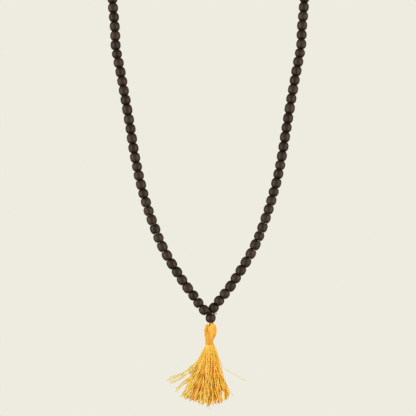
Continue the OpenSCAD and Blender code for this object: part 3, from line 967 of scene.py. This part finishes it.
threads = []
for first, last, outer, inner, inLock, bright, cut in skirt["locks"]:
    layers = ((-1, "outer", outer), (-1, "inner", inner), (1, "inner", inner), (1, "behind", outer))
    for facing, layer, locks in layers:
        for i in range(locks):
            place = first + (last - first) * (i + draw.uniform(*skirt["lockPlay"])) / locks
            deep = facing * draw.uniform(*skirt[layer])
            tint = bright + eitherWay(skirt["tintPlay"])
            if layer == "inner":
                # painted shade on the locks inside
                tint = draw.uniform(*skirt["innerShade"])
            elif place > skirt["shadedFrom"] and draw.random() < skirt["shadedShare"]:
                tint = draw.uniform(*skirt["shadedTint"])
            lockWave = waveOf(skirt["lockWave"])
            lockWide = draw.uniform(*skirt["lockWide"])
            lockLength = draw.uniform(*skirt["innerLengths" if layer == "inner" else "lengths"]) * cut
            for j in range(inLock):
                wide = lockWide * sqrt(draw.random())
                spot = draw.uniform(0, anyTurn)
                length = lockLength * draw.uniform(*skirt["ownLength"])
                threads.append(skirtThread(place, deep, lockWave, wide, spot, tint, length))
flossPiece("tassel_skirt_threads", threads, 5, ["tassel_skirt"])
print("tassel skirt made, %d threads" % len(threads))

# Strays: single threads that stand off the skirt. Points are across and below the waist, and forward
strays = {
    "rows": [
        [(2.2, 0, 0.5), (5.6, 6, 1.5), (7.9, 11.3, 2.0), (11.3, 17.8, 2.2), (19.6, 23.2, 2.0),
         (28.8, 28.4, 1.6)],
        [(2.0, 0, -0.4), (6.4, 9, 1.0), (9.6, 17, 1.5), (11.4, 26, 1.8), (15.8, 36, 1.4), (19.3, 40.4, 1.0)],
        [(-2.0, 0, 0.6), (-6.0, 7.5, 1.2), (-9.8, 13.5, 1.6), (-13.0, 16.2, 1.8), (-15.8, 17.4, 1.9)],
        [(0.2, 0, 1.0), (0.4, 16, 3.6), (0.2, 32, 5.4), (0.3, 50.2, 6.0)],
        [(-1.0, 0, 1.8), (-2.2, 14, 4.4), (-2.9, 28, 6.6), (-5.2, 42, 7.8), (-6.4, 45, 8.0)],
        [(0.9, 0, 1.8), (1.9, 14, 4.4), (1.2, 28, 6.6), (2.9, 40, 7.8), (2.4, 46, 8.0)],
        [(1.6, 0, 1.4), (4.2, 14, 3.9), (4.0, 27, 5.8), (6.9, 39, 6.8), (6.6, 44, 7.0)],
    ],
    "thickness": 0.36, "steps": 6, "points": 26, "tint": (0.7, 1.0),
}
threads = []
for row in strays["rows"]:
    line = [Vector((waistX + x, frontY - forward, waistBottom - drop)) for x, drop, forward in row]
    line = evenly(smoothCurve(line, strays["steps"]), strays["points"])
    threads.append((line, strays["thickness"], draw.uniform(*strays["tint"])))
flossPiece("tassel_stray_threads", threads, 5)


# Camera: level, square on to the front strands, as far off as a 100 mm lens needs
photo = {"pixels": 416, "mmPerPixel": 0.784, "middleX": -0.3, "middleZ": -206.7}
lens, sensor = 100.0, 36.0
distance = photo["pixels"] * photo["mmPerPixel"] * lens / sensor
cameraData = bpy.data.cameras.new("camera")
cameraData.lens = lens
cameraData.sensor_width = sensor
cameraData.clip_start = 0.05
cameraData.clip_end = 20
camera = addObject("camera", cameraData)
camera.location = Vector((photo["middleX"], frontY - distance, photo["middleZ"])) * mm
camera.rotation_euler = (radians(90), 0, 0)
bpy.context.scene.camera = camera

# Stage: a round sweep of pale paper, floor and wall in one, and soft boxes to both sides
stage = {
    "radius": 3.0, "floor": -1.2, "top": 3.0, "corner": 0.8, "cornerSteps": 8, "segments": 96,   # in metres
    "paper": "eeece0", "fill": "f4f2ee", "fillStrength": 0.37,
}
outline = [(0.0, stage["floor"]), (stage["radius"] - stage["corner"], stage["floor"])]
for i in range(1, stage["cornerSteps"] + 1):
    turn = pi / 2 * i / stage["cornerSteps"]
    outline.append((stage["radius"] - stage["corner"] * (1 - sin(turn)),
                    stage["floor"] + stage["corner"] * (1 - cos(turn))))
outline.append((stage["radius"], stage["top"]))
bm = spunForm(outline, False, stage["segments"], 0.0001)
bmesh.ops.reverse_faces(bm, faces=bm.faces)
paper, tree = newMaterial("litPaper")          # seamless paper, lit so evenly that it shows no shadow
closeMaterial(tree, addNode(tree, "Emission", {"Color": color(stage["paper"]), "Strength": 1.0}))
sweep = meshObject(bm, "paper_sweep", paper)
sweep.visible_diffuse = False
sweep.visible_glossy = False
sweep.visible_shadow = False

world = bpy.data.worlds.new("studio")
world.use_nodes = True
fill = world.node_tree.nodes["Background"].inputs
fill["Color"].default_value = color(stage["fill"])
fill["Strength"].default_value = stage["fillStrength"]
bpy.context.scene.world = world

softBoxes = [
    # name, place in metres, width, height, watts, color
    ("box_left", (-1.33, -0.8, -0.2), 1.8, 2.0, 31, "fff6ea"),
    ("box_right", (1.33, -0.8, -0.2), 1.8, 2.0, 28, "fff8f0"),
]
aim = Vector((0, frontY * mm, photo["middleZ"] * mm))
for name, place, width, height, watts, tone in softBoxes:
    light = bpy.data.lights.new(name, "AREA")
    light.shape = "RECTANGLE"
    light.size = width
    light.size_y = height
    light.energy = watts
    light.color = color(tone)[:3]
    box = addObject(name, light)
    box.location = place
    box.rotation_euler = (aim - Vector(place)).to_track_quat("-Z", "Y").to_euler()
bpy.context.scene.view_settings.view_transform = "Standard"
print("stage made")
